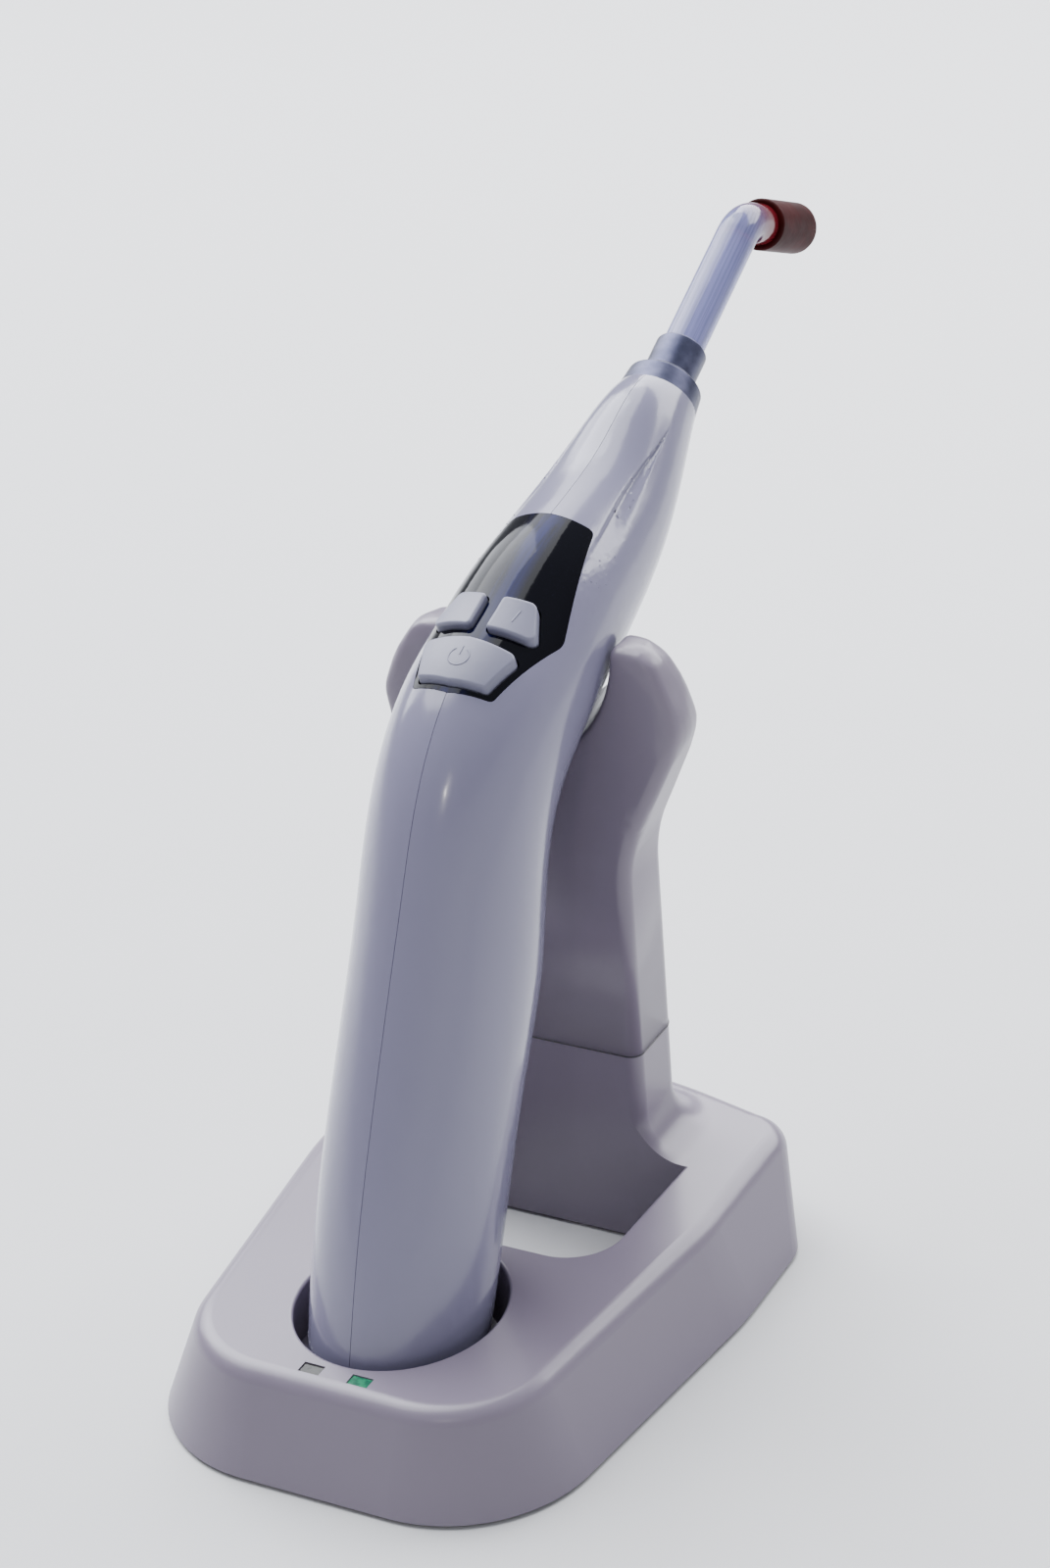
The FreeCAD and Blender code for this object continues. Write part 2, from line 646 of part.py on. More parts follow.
node("yoke_screws", group("YokeScrews", *yoke_screws))

# ---------------------------------------------------------------- handpiece: shells

NOSE_Y = "tip_y + tip_deep * cos(tip_lean)"
NOSE_Z = "tip_z - tip_deep * sin(tip_lean)"


def handpiece_form(label, inset):
    """The handpiece's outer form, or the same form with every section moved in."""
    rings = []
    for name, *_ in SECTIONS:
        ring = doc.addObject("Part::Ellipse", label + name.title())
        bind(ring, MajorRadius=f"{name}_deep - ({inset})", MinorRadius=f"{name}_half - ({inset})")
        middle = (
            f"{name}_y + {name}_deep * cos({name}_lean); "
            f"{name}_z - {name}_deep * sin({name}_lean)"
        )
        turn = f"rotation(vector(1; 0; 0); -{name}_lean) * rotation(vector(0; 0; 1); 90)"
        ring.setExpression("Placement", rule(f"placement(vector(0; {middle}); {turn})"))
        rings.append(ring)
    loft = doc.addObject("Part::Loft", label)
    loft.Sections = rings
    loft.Solid = True
    return loft


def in_handle(label, obj):
    return node(label, place(obj, 0, "battery_y", "battery_z", "handle_lean", True), True)


def on_window(label, obj):
    return node(label, place(obj, 0, "window_y", "window_z", "-window_tilt", True), True)


def on_nose(label, obj):
    return node(label, place(obj, 0, NOSE_Y, NOSE_Z, "nose_lean", True), True)


form = handpiece_form("Form", "0")
inner_form = handpiece_form("InnerForm", "shell_wall")
fitted_form = handpiece_form("FittedForm", "shell_wall + joint_gap")

WINDOW = mirrored([
    ("0", "-0.1"),
    ("7.7", "0.9", "1.2"),
    ("12.6", "18.6", "6"),
    ("8.2", "window_long - 0.2", "1.4"),
    ("0", "window_long + 0.3"),
])
BUTTONS = {
    "power": mirrored([("0", "1.2"), ("6.6", "1.8", "0.9"), ("9.2", "10.4", "1.3"),
                       ("0", "11.1")]),
    "mode": [("1.5", "13.7", "0.9"), ("10.3", "14.4", "1.5"), ("7.5", "22.3", "1.5"),
             ("1.6", "21.6", "0.9")],
    "time": [("-1.6", "21.6", "0.9"), ("-7.5", "22.3", "1.5"), ("-10.3", "14.4", "1.5"),
             ("-1.5", "13.7", "0.9")],
}


def window_prism(label, corners, start, height, grow="0"):
    """A prism across the window, its outline grown by a gap."""
    sketch = outline(label + "Outline", corners, 0, "window_y", "window_z", "-window_tilt")
    if grow == "0":
        return prism(label, sketch, height, start=start)
    wider = doc.addObject("Part::Offset2D", label + "Wider")
    wider.Source = sketch
    bind(wider, Value=grow)
    return prism(label, wider, height, start=start)


skin = cut("Skin", form, inner_form)
SHELL_SCREWS = [("-13.3", "36.0"), ("1.2", "68.9"), ("40.8", "112.6")]
middle_form = handpiece_form("MiddleForm", "shell_wall / 2")
bosses = common("Bosses", middle_form, fuse("BossRods", *[
    cross_cylinder(f"BossRod{i}", "2.4", ("-18", "18"), y, z)
    for i, (y, z) in enumerate(SHELL_SCREWS, start=1)
]))
heel_zone = box("HeelZone", ("-30", "30"), ("-90", "20"), ("0", "cap_line"))
window_hole = window_prism("WindowHole", WINDOW, "-9", "16", "0.1")
pilots = [
    cross_cylinder(f"ShellPilot{i}", "1.15", ("-20", "0"), y, z)
    for i, (y, z) in enumerate(SHELL_SCREWS, start=1)
]
pilots += [
    cross_cylinder(f"ShellSink{i}", "2.2", ("-20", "-6.5"), y, z)
    for i, (y, z) in enumerate(SHELL_SCREWS, start=1)
]
pilots += [
    cross_cylinder(f"ShellThread{i}", "0.95", ("0", "8"), y, z)
    for i, (y, z) in enumerate(SHELL_SCREWS, start=1)
]
whole_shell = cut("WholeShell", fuse("SkinAndBosses", skin, bosses), heel_zone, window_hole,
                  *pilots)
left_zone = box("LeftZone", ("-40", "-0.05"), ("-90", "120"), ("0", "180"))
right_zone = box("RightZone", ("0.05", "40"), ("-90", "120"), ("0", "180"))
node("shell_left", common("ShellLeft", whole_shell, left_zone))
node("shell_right", common("ShellRight", whole_shell, right_zone))
shell_screws = [
    fuse(
        f"ShellScrew{i}",
        cross_cylinder(f"ShellScrewHead{i}", "2.0", ("-7.9", "-6.5"), y, z),
        cross_cylinder(f"ShellScrewShank{i}", "0.93", ("-6.5", "6.5"), y, z),
    )
    for i, (y, z) in enumerate(SHELL_SCREWS, start=1)
]
node("shell_screws", group("ShellScrews", *shell_screws))

# End cap with its lip inside the shells, and the two charging pads in its underside.
cap_outer = common("CapOuter", form, heel_zone)
heel_line = value("heel_z")
cap_soft = rounded("CapSoft", cap_outer, ("2.6", lambda p, e: abs(p.z - heel_line) < 0.01))
cap_lip = common("CapLip", fitted_form,
                 box("LipZone", ("-30", "30"), ("-90", "20"), ("cap_line - 3", "cap_line + 3")))
cap_hollow = common("CapHollow", handpiece_form("CapInner", "shell_wall + 1.6"),
                    box("CapHollowZone", ("-30", "30"), ("-90", "20"), ("heel_z + 2.4", "60")))
pads = {
    side: cylinder(f"Pad{side.title()}", "2.4", "0.85", x, PIN_Y, "heel_z - 0.05")
    for side, x in PIN_SPOTS.items()
}
node("end_cap", cut("EndCap", fuse("CapSolid", cap_soft, cap_lip), cap_hollow,
                    *[cylinder(f"PadSink{side.title()}", "2.4", "1.8", x, PIN_Y, "heel_z - 1")
                      for side, x in PIN_SPOTS.items()]))
node("charge_pads", group("ChargePads", *pads.values()))

# ---------------------------------------------------------------- handpiece: window and buttons

window_skin = common("WindowSkin", skin, window_prism("WindowForm", WINDOW, "-9", "16"))
button_holes = [
    window_prism(f"{name.title()}Hole", corners, "-9", "16", "button_gap")
    for name, corners in BUTTONS.items()
]
node("display_window", cut("DisplayWindow", window_skin, *button_holes))

raised_form = handpiece_form("RaisedForm", "-button_rise")
window_middle = Vector(0, value("window_y"), value("window_z"))
window_lean = math.radians(value("window_tilt"))
window_normal = Vector(0, -math.sin(window_lean), math.cos(window_lean))
for name, corners in BUTTONS.items():
    key = common(f"{name.title()}Key", raised_form,
                 window_prism(f"{name.title()}Form", corners, "-3.4", "8"))
    soft = rounded(f"{name.title()}Soft", key, (
        "0.6", lambda p, e: e.Curve.TypeId != "Part::GeomLine" and
        abs(e.tangentAt(e.FirstParameter).dot(window_normal)) < 0.6 and
        (p - window_middle).dot(window_normal) > -2.9))
    node(f"{name}_button", soft)

on_window("display_board", fuse(
    "DisplayBoard",
    box("DisplayBoardSheet", ("-9.5", "9.5"), ("2", "41"), ("-9.2", "-8")),
    cylinder("Buzzer", "4.2", "2.4", 0, "10", "-11.6"),
))
on_window("display_module", group("DisplayModule", box(
    "DisplayGlass", ("-7.5", "7.5"), ("26.5", "40.5"), ("-8", "-5"),
)))
switches = []
for i, (x, y) in enumerate([("0", "6.2"), ("5.4", "18"), ("-5.4", "18")], start=1):
    base = box(f"SwitchBase{i}", (f"{x} - 3", f"{x} + 3"), (f"{y} - 3", f"{y} + 3"),
               ("-8", "-5.1"))
    switches.append(fuse(f"Switch{i}", base, cylinder(f"Plunger{i}", "1.6", "1", x, y, "-5.1")))
on_window("tact_switches", group("TactSwitches", *switches))

# ---------------------------------------------------------------- handpiece: power and light

in_handle("battery_cell", cylinder("Battery", "battery_round", "battery_long"))
cradle_tube = cut(
    "CradleTube",
    cylinder("CradleOuter", "battery_round + 1.4", "62", 0, 0, "1"),
    cylinder("CradleInner", "battery_round + 0.1", "70", 0, 0, "-2"),
    box("CradleOpen", ("-20", "20"), ("-20", "1"), ("-2", "70")),
)
ribs = [
    cut(
        f"Rib{i}",
        box(f"RibPlate{i}", ("-20", "20"), ("-25", "25"), (level, f"{level} + 2.2")),
        cylinder(f"RibBore{i}", "battery_round + 0.1", "10", 0, 0, f"{level} - 4"),
        box(f"RibSlot{i}", ("-8.1", "8.1"), ("-12.75", "-5"), (f"{level} - 4", f"{level} + 6")),
    )
    for i, level in enumerate(["3", "30", "57"], start=1)
]
frame_parts = place(fuse("FrameParts", cradle_tube, *ribs), 0, "battery_y", "battery_z",
                    "handle_lean")
node("battery_frame", common("BatteryFrame", frame_parts, fitted_form))
in_handle("main_board", fuse(
    "MainBoard",
    box("MainBoardSheet", ("-8", "8"), ("-12.65", "-11.05"), ("1", "61")),
    box("Controller", ("-4", "4"), ("-13.7", "-12.65"), ("14", "22")),
    box("Driver", ("-3", "3"), ("-13.9", "-12.65"), ("38", "45")),
))

fins = [("0", "-42")]
for i in range(4):
    z = -42 + 3.6 * i
    fins += [("8.6", f"{z}"), ("8.6", f"{z + 1.8}"), ("6", f"{z + 1.8}"), ("6", f"{z + 3.6}")]
fins += [("8.6", "-27.6"), ("8.6", "-24"), ("0", "-24")]
on_nose("heat_sink", turned("HeatSink", fins))
on_nose("led_board", turned("LedBoard", [
    ("0", "-24"), ("8", "-24"), ("8", "-22.4"), ("0", "-22.4"),
]))
on_nose("led_emitter", turned("LedEmitter", [
    ("0", "-22.4"), ("2.6", "-22.4"), ("2.6", "-21.4"), ("1.9", "-21.4"), ("1.9", "-20", "1.2"),
    ("0", "-20"),
]))
on_nose("reflector", turned("Reflector", [
    ("6.6", "-22.4"), ("7.6", "-22.4"), ("5.6", "-9.8"), ("4.6", "-9.8"),
]))

# ---------------------------------------------------------------- light guide

on_nose("nose_ring", turned("NoseRing", [
    ("collar_round + running_gap", "-6"), ("5.7", "-6"), ("5.7", "0"), ("nose_round", "0"),
    ("nose_round - 0.5", "4.2", "0.4"), ("collar_round + 0.6", "5.7", "0.3"),
    ("collar_round + running_gap", "5.7"),
]))
on_nose("guide_collar", turned("GuideCollar", [
    ("rod_round + 0.02", "-8"), ("collar_round", "-8"), ("collar_round", "-4.6"),
    ("collar_round - 0.58", "-4.6"), ("collar_round - 0.58", "-3.7"), ("collar_round", "-3.7"),
    ("collar_round", "13.2", "0.4"), ("rod_round + 0.02", "13.2"),
]))
seal = bind(doc.addObject("Part::Torus", "Seal"), Radius1="4.73", Radius2="0.29")
on_nose("guide_seal", group("GuideSeal", place(seal, z="-4.15")))

RUN_IN = "bend_round * tan(bend_turn / 2)"
BEND_START = f"bend_corner - {RUN_IN}"
rod = cylinder("Rod", "rod_round", f"{BEND_START} + 9", 0, 0, "-9")
elbow = bind(doc.addObject("Part::Torus", "Elbow"), Radius1="bend_round", Radius2="rod_round",
             Angle3="bend_turn")
elbow.setExpression("Placement", rule(
    f"placement(vector(0; bend_round; {BEND_START}); "
    "rotation(vector(0; 1; 0); -90) * rotation(vector(0; 0; 1); -90))"
))
tip_rod = cylinder(
    "TipRod", "rod_round", f"tip_long - {RUN_IN}", 0,
    "bend_round * (1 - cos(bend_turn))", f"{BEND_START} + bend_round * sin(bend_turn)",
    lean="bend_turn",
)
on_nose("light_guide", fuse("LightGuide", rod, elbow, tip_rod))

cap = turned("TipCap", [
    ("rod_round + 0.03", "cap_start"), ("cap_round", "cap_start", "0.6"),
    ("cap_round", "cap_start + cap_long", "1.2"), ("3", "cap_start + cap_long"),
    ("3", "tip_long + 0.1"), ("rod_round + 0.03", "tip_long + 0.1"),
])
node("tip_cap", place(
    cap, 0, f"{NOSE_Y} + bend_corner * sin(nose_lean)",
    f"{NOSE_Z} + bend_corner * cos(nose_lean)", "nose_lean + bend_turn", True,
), True)

# ---------------------------------------------------------------- check and write

doc.recompute()
for obj in doc.Objects:
    if "Invalid" in obj.State or "Error" in obj.State:
        raise RuntimeError(f"{obj.Name} could not be built")
for obj in NODES:
    if obj.Shape.isNull() or not obj.Shape.isValid() or not obj.Shape.Solids:
        raise RuntimeError(f"{obj.Label} has no valid shape")

os.makedirs("parts", exist_ok=True)
whole = FreeCAD.BoundBox()
for obj in NODES:
    obj.Shape.exportStep(f"parts/{obj.Label}.step")
    whole.add(obj.Shape.optimalBoundingBox(False))
    print(f"{obj.Label}: {len(obj.Shape.Solids)} solid(s), {obj.Shape.Volume:.0f} mm3")
print(f"{len(NODES)} sub-parts, box {whole}")
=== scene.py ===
"""A dental curing light in its charging stand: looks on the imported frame, in metres."""
import json
import math

import bmesh
import bpy
from mathutils import Matrix, Vector
from mathutils.bvhtree import BVHTree
from mathutils.interpolate import poly_3d_calc


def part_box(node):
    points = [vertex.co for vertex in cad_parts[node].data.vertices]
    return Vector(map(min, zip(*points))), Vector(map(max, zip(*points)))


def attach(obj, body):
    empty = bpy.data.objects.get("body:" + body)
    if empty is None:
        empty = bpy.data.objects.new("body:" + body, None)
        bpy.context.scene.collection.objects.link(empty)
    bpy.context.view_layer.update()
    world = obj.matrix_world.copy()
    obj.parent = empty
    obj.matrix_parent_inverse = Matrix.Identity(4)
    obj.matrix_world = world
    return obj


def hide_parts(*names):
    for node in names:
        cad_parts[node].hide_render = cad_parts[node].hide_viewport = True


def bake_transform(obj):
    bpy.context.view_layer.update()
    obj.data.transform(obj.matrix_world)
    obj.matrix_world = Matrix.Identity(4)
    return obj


MM = 0.001
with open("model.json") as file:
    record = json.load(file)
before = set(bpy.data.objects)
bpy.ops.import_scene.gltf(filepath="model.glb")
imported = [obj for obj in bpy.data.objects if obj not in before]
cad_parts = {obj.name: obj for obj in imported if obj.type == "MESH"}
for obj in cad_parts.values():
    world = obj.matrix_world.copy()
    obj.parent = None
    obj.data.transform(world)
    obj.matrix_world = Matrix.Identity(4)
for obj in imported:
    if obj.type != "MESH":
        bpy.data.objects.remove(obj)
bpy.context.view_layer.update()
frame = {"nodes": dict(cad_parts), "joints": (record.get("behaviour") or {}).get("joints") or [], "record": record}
nodes = frame["nodes"]
joint_axis = {joint["name"]: Vector(joint["axis"]) for joint in frame["joints"]}
NOSE_AXIS = joint_axis["guide_pull"]
TIP_AXIS = joint_axis["tip_cap_pull"]
WINDOW_NORMAL = -joint_axis["power_press"]
ACROSS = Vector((1, 0, 0))
# the scoop along each side of the nose, measured from the nose ring's middle
SCOOP_START = 11.4 * MM
SCOOP_RISE = 0.4 * MM
SCOOP_SLOPE = 0.232
SCOOP_OPENING = 0.15
SCOOP_FADE = (22 * MM, 46 * MM)
SCOOP_DEPTH = 0.7 * MM
SCOOP_MESH = 0.45 * MM
# the ears, measured down from the yoke's top
EARS_REACH = 38 * MM
EARS_FULL = 24 * MM
EARS_MESH = 1.1 * MM
FORK_HALF = 16.5 * MM


def middle(node):
    low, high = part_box(node)
    return (low + high) / 2


# ---------------------------------------------------------------- materials

class Material:
    """A Principled material with a few helpers that add nodes to it. Lengths are in metres."""

    def __init__(self, name, **inputs):
        self.data = bpy.data.materials.new(name)
        self.data.use_nodes = True
        self.tree = self.data.node_tree
        self.shader = self.tree.nodes["Principled BSDF"]
        self.place = self.add("ShaderNodeTexCoord").outputs["Object"]
        self.last_bump = None
        for key, value in inputs.items():
            self.shader.inputs[key.replace("_", " ")].default_value = value

    def add(self, kind, **settings):
        node = self.tree.nodes.new(kind)
        for key, value in settings.items():
            setattr(node, key, value)
        return node

    def link(self, source, target):
        self.tree.links.new(source, target)

    def noise(self, size, detail=3, where=None):
        """Noise whose spots are about as wide as size."""
        node = self.add("ShaderNodeTexNoise")
        node.inputs["Scale"].default_value = 1 / size
        node.inputs["Detail"].default_value = detail
        self.link(where or self.place, node.inputs["Vector"])
        return node.outputs["Fac"]

    def stretched(self, axis, along, across):
        """Places scaled to be long along an axis: noise on them makes streaks or turning marks."""
        turn = self.add("ShaderNodeMapping", vector_type="TEXTURE")
        from_z = Vector((0, 0, 1)).rotation_difference(Vector(axis))
        turn.inputs["Rotation"].default_value = from_z.to_euler()
        turn.inputs["Scale"].default_value = (across, across, along)
        self.link(self.place, turn.inputs["Vector"])
        return turn.outputs["Vector"]

    def span(self, value, low, high, to_low=0.0, to_high=1.0):
        node = self.add("ShaderNodeMapRange", clamp=True, interpolation_type="SMOOTHSTEP")
        node.inputs["From Min"].default_value = low
        node.inputs["From Max"].default_value = high
        node.inputs["To Min"].default_value = to_low
        node.inputs["To Max"].default_value = to_high
        self.link(value, node.inputs["Value"])
        return node.outputs["Result"]

    def along(self, axis):
        """Distance along an axis from the frame's origin."""
        node = self.add("ShaderNodeVectorMath", operation="DOT_PRODUCT")
        node.inputs[1].default_value = axis
        self.link(self.place, node.inputs[0])
        return node.outputs["Value"]

    def math(self, operation, first, second=0.0):
        node = self.add("ShaderNodeMath", operation=operation)
        for socket, given in zip(node.inputs, (first, second)):
            if isinstance(given, bpy.types.NodeSocket):
                self.link(given, socket)
            else:
                socket.default_value = given
        return node.outputs[0]

    def colour(self, factor, first, second):
        node = self.add("ShaderNodeMix", data_type="RGBA")
        self.link(factor, node.inputs["Factor"])
        for socket, given in ((node.inputs[6], first), (node.inputs[7], second)):
            if isinstance(given, bpy.types.NodeSocket):
                self.link(given, socket)
            else:
                socket.default_value = (*given, 1)
        self.link(node.outputs[2], self.shader.inputs["Base Color"])
        return node.outputs[2]

    def roughness(self, factor, low, high):
        self.link(self.span(factor, 0.0, 1.0, low, high), self.shader.inputs["Roughness"])

    def bump(self, height, depth, strength=1.0):
        node = self.add("ShaderNodeBump")
        node.inputs["Strength"].default_value = strength
        node.inputs["Distance"].default_value = depth
        self.link(height, node.inputs["Height"])
        if self.last_bump is not None:
            self.link(self.last_bump, node.inputs["Normal"])
        self.last_bump = node.outputs["Normal"]
        self.link(self.last_bump, self.shader.inputs["Normal"])


def moulded(name, light, dark, low, high, peel, coat=0.0):
    """Moulded plastic: faint colour drift, uneven gloss and a fine orange-peel surface."""
    made = Material(name, Coat_Weight=coat, Coat_Roughness=0.08)
    made.colour(made.noise(40 * MM, 1), light, dark)
    made.roughness(made.noise(15 * MM, 1), low, high)
    made.bump(made.noise(1.2 * MM, 0), peel)
    return made


def metal(name, light, dark, low, high, axis=None):
    """Bare metal; with an axis, turning marks run round it."""
    made = Material(name, Metallic=1.0)
    made.colour(made.span(made.noise(3 * MM, 4), 0.3, 0.7), light, dark)
    if axis is None:
        marks = made.noise(0.3 * MM, 4)
    else:
        marks = made.noise(1.0, 3, made.stretched(axis, 0.12 * MM, 8 * MM))
    made.roughness(marks, low, high)
    made.bump(marks, 0.012 * MM)
    return made


def window_material():
    """Smoked gloss panel with a painted reflection: a faint dark blue stripe up its middle, standing in for a dim
    room mirrored in the glass.
    """
    made = Material("window_black", Specular_IOR_Level=0.12)
    streaks = made.noise(1.0, 2, made.stretched(WINDOW_NORMAL.cross(ACROSS), 90 * MM, 1.6 * MM))
    off_middle = made.math("ABSOLUTE", made.along(ACROSS))
    reflection_band = made.span(off_middle, 1 * MM, 4.5 * MM, 1, 0)
    # painted reflection: a faint dark blue stripe put into the panel's colour where a dim room would be mirrored
    painted_reflection = made.math("MULTIPLY", reflection_band, made.span(streaks, 0.3, 0.75))
    made.colour(painted_reflection, (0.002, 0.002, 0.004), (0.006, 0.008, 0.06))
    made.roughness(made.noise(5 * MM, 4), 0.04, 0.10)
    made.bump(made.noise(9 * MM, 2), 0.02 * MM)
    return made


def guide_material():
    """Fused rod: pale violet glass with fine streaks along it, and a painted red tint where it enters the cap: the
    cap's red light shining into the rod, which stays on the rod when the cap is pulled off.
    """
    made = Material("guide_glass", Transmission_Weight=0.35, IOR=1.47, Specular_IOR_Level=0.4)
    low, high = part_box("tip_cap")
    streaks = made.noise(1.0, 4, made.stretched(NOSE_AXIS, 40 * MM, 0.6 * MM))
    pale = made.colour(made.span(streaks, 0.35, 0.7), (0.22, 0.225, 0.45), (0.135, 0.14, 0.30))
    cap_start = Vector((0, low.y, high.z)).dot(TIP_AXIS)
    # painted light: the rod turns red near the cap, standing in for the cap's red light shining into it
    red = made.span(made.along(TIP_AXIS), cap_start - 9 * MM, cap_start + 1 * MM)
    made.colour(red, pale, (0.14, 0.008, 0.014))
    made.roughness(streaks, 0.05, 0.16)
    made.bump(streaks, 0.02 * MM)
    return made


def cap_material():
    """Translucent dark red cap with a faint moulded skin."""
    made = Material("tip_red", Transmission_Weight=0.05, IOR=1.45, Specular_IOR_Level=0.04)
    patches = made.span(made.noise(5 * MM), 0.35, 0.65)
    made.colour(patches, (0.034, 0.0015, 0.0015), (0.022, 0.001, 0.001))
    made.roughness(made.noise(2 * MM, 3), 0.4, 0.5)
    made.bump(made.noise(0.8 * MM), 0.02 * MM)
    return made


def lens_material(name, light, dark, clear, glow=0.0):
    made = Material(name, Transmission_Weight=clear, IOR=1.49, Specular_IOR_Level=0.3)
    made.colour(made.span(made.noise(1.2 * MM), 0.35, 0.65), light, dark)
    made.roughness(made.noise(0.8 * MM), 0.06, 0.16)
    made.bump(made.noise(0.6 * MM), 0.01 * MM)
    if glow:
        made.shader.inputs["Emission Color"].default_value = (*light, 1)
        made.shader.inputs["Emission Strength"].default_value = glow
    return made


def board_material():
    """Solder mask over copper tracks, which run along X and Y."""
    made = Material("board", Coat_Weight=0.5)
    tracks = made.add("ShaderNodeTexBrick")
    tracks.inputs["Scale"].default_value = 1 / (7 * MM)
    tracks.inputs["Mortar Size"].default_value = 0.012
    made.link(made.place, tracks.inputs["Vector"])
    made.colour(tracks.outputs["Fac"], (0.008, 0.07, 0.025), (0.05, 0.16, 0.06))
    made.roughness(made.noise(0.9 * MM), 0.3, 0.45)
    made.bump(tracks.outputs["Fac"], 0.035 * MM)
    return made


def rubber_material(name, light, dark):
    made = Material(name, Specular_IOR_Level=0.3)
    made.colour(made.span(made.noise(2 * MM, 4), 0.3, 0.7), light, dark)
    made.roughness(made.noise(0.8 * MM, 4), 0.62, 0.85)
    made.bump(made.noise(0.35 * MM, 3), 0.05 * MM)
    return made


STAND_LIGHT = (0.158, 0.134, 0.178)
STAND_DARK = (0.152, 0.129, 0.172)
HAND_LIGHT = (0.168, 0.160, 0.236)
HAND_DARK = (0.161, 0.154, 0.228)
slots = {
    "stand_white": moulded("stand_white", STAND_LIGHT, STAND_DARK, 0.29, 0.36, 0.002 * MM, 0.1),
    "handpiece_white": moulded("handpiece_white", HAND_LIGHT, HAND_DARK, 0.15, 0.21, 0.003 * MM,
                               0.2),
    "window_black": window_material(),
    "button_grey": moulded("button_grey", (0.155, 0.155, 0.215), (0.143, 0.143, 0.20), 0.38, 0.5,
                           0.012 * MM),
    "aluminium": metal("aluminium", (0.070, 0.072, 0.115), (0.042, 0.044, 0.075), 0.32, 0.44,
                       NOSE_AXIS),
    "steel": metal("steel", (0.55, 0.54, 0.53), (0.40, 0.40, 0.40), 0.29, 0.4),
    "spring_steel": metal("spring_steel", (0.42, 0.42, 0.44), (0.30, 0.30, 0.32), 0.29, 0.4),
    "gold": metal("gold", (0.95, 0.66, 0.24), (0.80, 0.52, 0.16), 0.16, 0.26),
    "rubber": rubber_material("rubber", (0.035, 0.035, 0.038), (0.02, 0.02, 0.022)),
    "seal": rubber_material("seal", (0.03, 0.03, 0.03), (0.015, 0.015, 0.015)),
    "board": board_material(),
    "parts_black": moulded("parts_black", (0.025, 0.025, 0.028), (0.014, 0.014, 0.016), 0.35, 0.5,
                           0.02 * MM),
    "cell": moulded("cell", (0.03, 0.12, 0.34), (0.02, 0.09, 0.27), 0.29, 0.38, 0.02 * MM, 0.4),
    "lens_clear": lens_material("lens_clear", (0.030, 0.030, 0.028), (0.015, 0.015, 0.015), 0.0),
    "lens_green": lens_material("lens_green", (0.02, 0.22, 0.11), (0.01, 0.10, 0.06), 0.3, 0.15),
    "guide_glass": guide_material(),
    "tip_red": cap_material(),
    "reflector": metal("reflector", (0.90, 0.90, 0.90), (0.82, 0.82, 0.84), 0.04, 0.1),
}
for part in frame["record"]["subparts"]:
    surface = nodes[part["node"]].data
    surface.materials.clear()
    surface.materials.append(slots[part["material_slot"]].data)


# ---------------------------------------------------------------- camera, floor and light

def look(azimuth, elevation, roll):
    """The turn of a camera that looks along an azimuth, down by an elevation, with a roll."""
    a, e, r = map(math.radians, (azimuth, elevation, roll))
    right = Vector((math.cos(a), math.sin(a), 0))
    forward = Vector((-math.sin(a) * math.cos(e), math.cos(a) * math.cos(e), -math.sin(e)))
    up = right.cross(forward)
    rolled_right = math.cos(r) * right + math.sin(r) * up
    rolled_up = -math.sin(r) * right + math.cos(r) * up
    return Matrix((rolled_right, rolled_up, -forward)).transposed().to_4x4()


def add_camera():
    lens = bpy.data.cameras.new("camera")
    lens.lens = 89.65
    lens.clip_start = 0.01
    camera = bpy.data.objects.new("camera", lens)
    place = Matrix.Translation((0.3052, -0.5575, 0.4220))
    camera.matrix_world = place @ look(29.445, 27.89, -4.472)
    bpy.context.scene.collection.objects.link(camera)
    bpy.context.scene.camera = camera


def add_floor():
    """A pale floor that curves up into a wall all round, far from the object."""
    flat, bend, wall, steps = 6.0, 2.0, 3.5, 10
    turns = [math.pi / 2 * i / steps for i in range(steps + 1)]
    profile = [(0.0, 0.0)]
    profile += [(flat + bend * math.sin(t), bend - bend * math.cos(t)) for t in turns]
    profile.append((flat + bend, wall))
    shape = bmesh.new()
    line = [shape.verts.new((reach, 0, height)) for reach, height in profile]
    edges = [shape.edges.new(pair) for pair in zip(line, line[1:])]
    bmesh.ops.spin(shape, geom=line + edges, cent=(0, 0, 0), axis=(0, 0, 1), dvec=(0, 0, 0),
                   angle=math.tau, steps=96, use_merge=True)
    bmesh.ops.remove_doubles(shape, verts=shape.verts, dist=1 * MM)
    floor = add_mesh("floor", shape)
    paint = Material("floor_white")
    paint.colour(paint.noise(0.4), (0.57, 0.57, 0.57), (0.55, 0.55, 0.555))
    paint.roughness(paint.noise(0.05), 0.55, 0.7)
    floor.data.materials.append(paint.data)


def add_mesh(name, shape):
    """An object from a bmesh, shaded smooth."""
    bmesh.ops.recalc_face_normals(shape, faces=shape.faces)
    surface = bpy.data.meshes.new(name)
    shape.to_mesh(surface)
    shape.free()
    for face in surface.polygons:
        face.use_smooth = True
    made = bpy.data.objects.new(name, surface)
    bpy.context.scene.collection.objects.link(made)
    return made


def add_light(name, place, target, size, power, colour=(1, 1, 1)):
    data = bpy.data.lights.new(name, "AREA")
    data.shape = "RECTANGLE"
    data.size, data.size_y = size
    data.energy = power
    data.color = colour
    lamp = bpy.data.objects.new(name, data)
    lamp.location = place
    lamp.rotation_euler = (Vector(target) - Vector(place)).to_track_quat("-Z", "Y").to_euler()
    bpy.context.scene.collection.objects.link(lamp)


